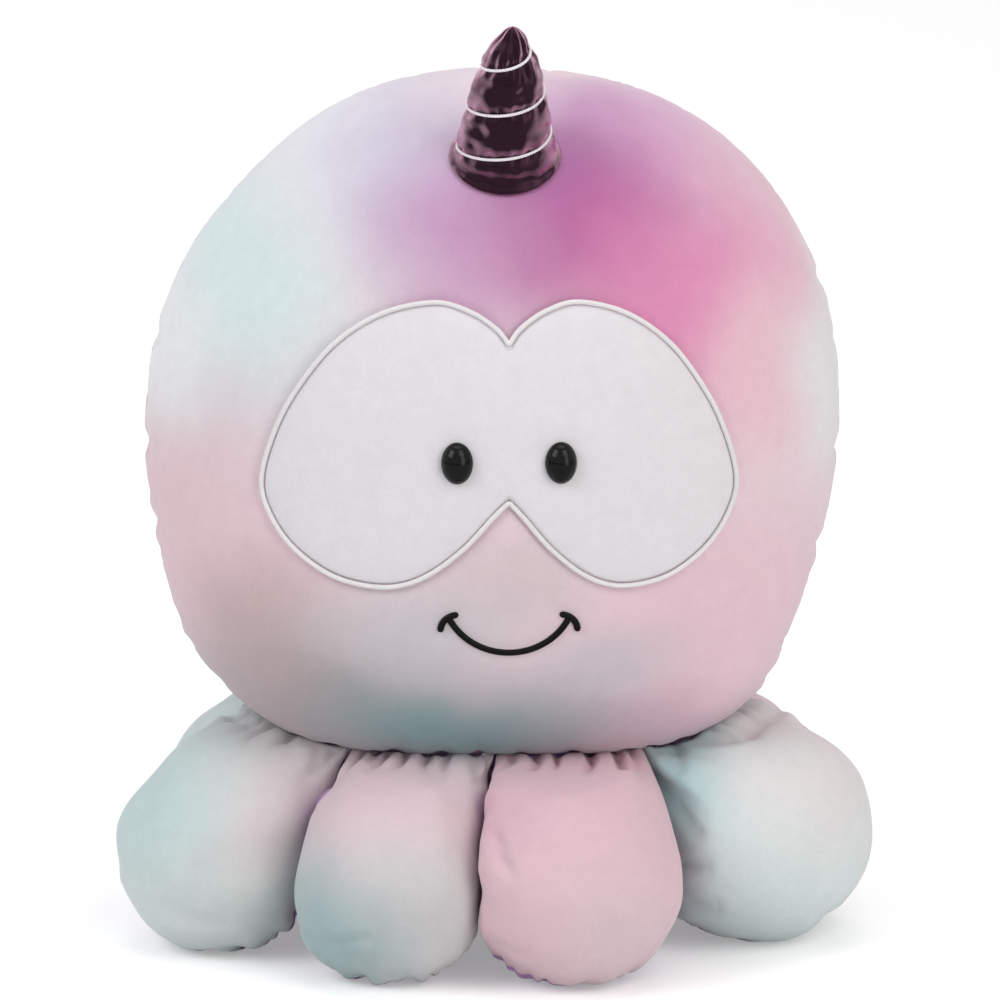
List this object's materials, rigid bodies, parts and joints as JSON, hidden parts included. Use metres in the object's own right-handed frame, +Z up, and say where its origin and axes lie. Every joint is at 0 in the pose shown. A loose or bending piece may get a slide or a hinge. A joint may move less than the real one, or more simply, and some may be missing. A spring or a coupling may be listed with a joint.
{
  "type": "plush octopus",
  "caption": "Stuffed plush octopus with a large squashed-ball head, joined white eye patch, button eyes, stitched smile, corded horn and a ring of sprung stuffed arms to stand on.",
  "frame": {"origin": "on the floor, at the middle of the box round the toy", "axes": "+Z up to the horn, -Y the way the face looks, +X towards the right of the picture"},
  "size_m": [0.3696, 0.3519, 0.4828],
  "materials": {
    "head_plush": "short-pile velour in soft pink, lilac and mint clouds",
    "arm_plush": "short-pile velour in soft mint and pink clouds",
    "lilac_plush": "short-pile velour, plain lilac",
    "white_plush": "short-pile velour, white",
    "white_thread": "satin thread, white",
    "black_thread": "satin thread, black",
    "plum_foil": "knit with a metallic foil face, dark plum",
    "eye_plastic": "polished black",
    "washer_plastic": "moulded",
    "stuffing": "loose polyester fibre"
  },
  "bodies": {
    "head": {"head_front_panel": "head_plush", "head_back_panel": "head_plush", "base_panel": "lilac_plush", "head_stuffing": "stuffing", "eye_patch": "white_plush", "eye_patch_border": "white_thread", "smile_stitching": "black_thread", "left_eye": "eye_plastic", "left_eye_washer": "washer_plastic", "right_eye": "eye_plastic", "right_eye_washer": "washer_plastic", "horn_cover": "plum_foil", "horn_stuffing": "stuffing", "horn_cord": "white_thread"},
    "right_back_arm": {"right_back_arm_outer_panel": "arm_plush", "right_back_arm_inner_panel": "lilac_plush", "right_back_arm_stuffing": "stuffing"},
    "back_right_arm": {"back_right_arm_outer_panel": "arm_plush", "back_right_arm_inner_panel": "lilac_plush", "back_right_arm_stuffing": "stuffing"},
    "back_left_arm": {"back_left_arm_outer_panel": "arm_plush", "back_left_arm_inner_panel": "lilac_plush", "back_left_arm_stuffing": "stuffing"},
    "left_back_arm": {"left_back_arm_outer_panel": "arm_plush", "left_back_arm_inner_panel": "lilac_plush", "left_back_arm_stuffing": "stuffing"},
    "left_front_arm": {"left_front_arm_outer_panel": "arm_plush", "left_front_arm_inner_panel": "lilac_plush", "left_front_arm_stuffing": "stuffing"},
    "front_left_arm": {"front_left_arm_outer_panel": "arm_plush", "front_left_arm_inner_panel": "lilac_plush", "front_left_arm_stuffing": "stuffing"},
    "front_right_arm": {"front_right_arm_outer_panel": "arm_plush", "front_right_arm_inner_panel": "lilac_plush", "front_right_arm_stuffing": "stuffing"},
    "right_front_arm": {"right_front_arm_outer_panel": "arm_plush", "right_front_arm_inner_panel": "lilac_plush", "right_front_arm_stuffing": "stuffing"}
  },
  "joints": [
    {"name": "right_back_arm_lift", "type": "hinge", "parent": "head", "child": "right_back_arm", "pos_m": [0.10625, 0.04083, 0.10627], "axis": [0.7328, -0.6804, 0], "range_deg": [0, 25], "stiffness_Nm_per_rad": 0.6, "springref_deg": -17.19},
    {"name": "back_right_arm_lift", "type": "hinge", "parent": "head", "child": "back_right_arm", "pos_m": [0.03864, 0.07054, 0.10161], "axis": [0.9782, -0.2078, 0], "range_deg": [0, 25], "stiffness_Nm_per_rad": 0.6, "springref_deg": -17.19},
    {"name": "back_left_arm_lift", "type": "hinge", "parent": "head", "child": "back_left_arm", "pos_m": [-0.03763, 0.07067, 0.10162], "axis": [0.9992, 0.0401, 0], "range_deg": [0, 25], "stiffness_Nm_per_rad": 0.6, "springref_deg": -17.19},
    {"name": "left_back_arm_lift", "type": "hinge", "parent": "head", "child": "left_back_arm", "pos_m": [-0.11107, 0.03591, 0.10782], "axis": [0.84, 0.5425, 0], "range_deg": [0, 25], "stiffness_Nm_per_rad": 0.6, "springref_deg": -17.19},
    {"name": "left_front_arm_lift", "type": "hinge", "parent": "head", "child": "left_front_arm", "pos_m": [-0.11187, -0.03529, 0.10816], "axis": [-0.736, 0.677, 0], "range_deg": [0, 25], "stiffness_Nm_per_rad": 0.6, "springref_deg": -17.19},
    {"name": "front_left_arm_lift", "type": "hinge", "parent": "head", "child": "front_left_arm", "pos_m": [-0.03882, -0.0705, 0.1016], "axis": [-0.971, 0.239, 0], "range_deg": [0, 25], "stiffness_Nm_per_rad": 0.6, "springref_deg": -17.19},
    {"name": "front_right_arm_lift", "type": "hinge", "parent": "head", "child": "front_right_arm", "pos_m": [0.03828, -0.07047, 0.10156], "axis": [-0.9995, 0.0316, 0], "range_deg": [0, 25], "stiffness_Nm_per_rad": 0.6, "springref_deg": -17.19},
    {"name": "right_front_arm_lift", "type": "hinge", "parent": "head", "child": "right_front_arm", "pos_m": [0.11684, -0.02898, 0.11021], "axis": [-0.7572, -0.6532, 0], "range_deg": [0, 25], "stiffness_Nm_per_rad": 0.6, "springref_deg": -17.19}
  ]
}
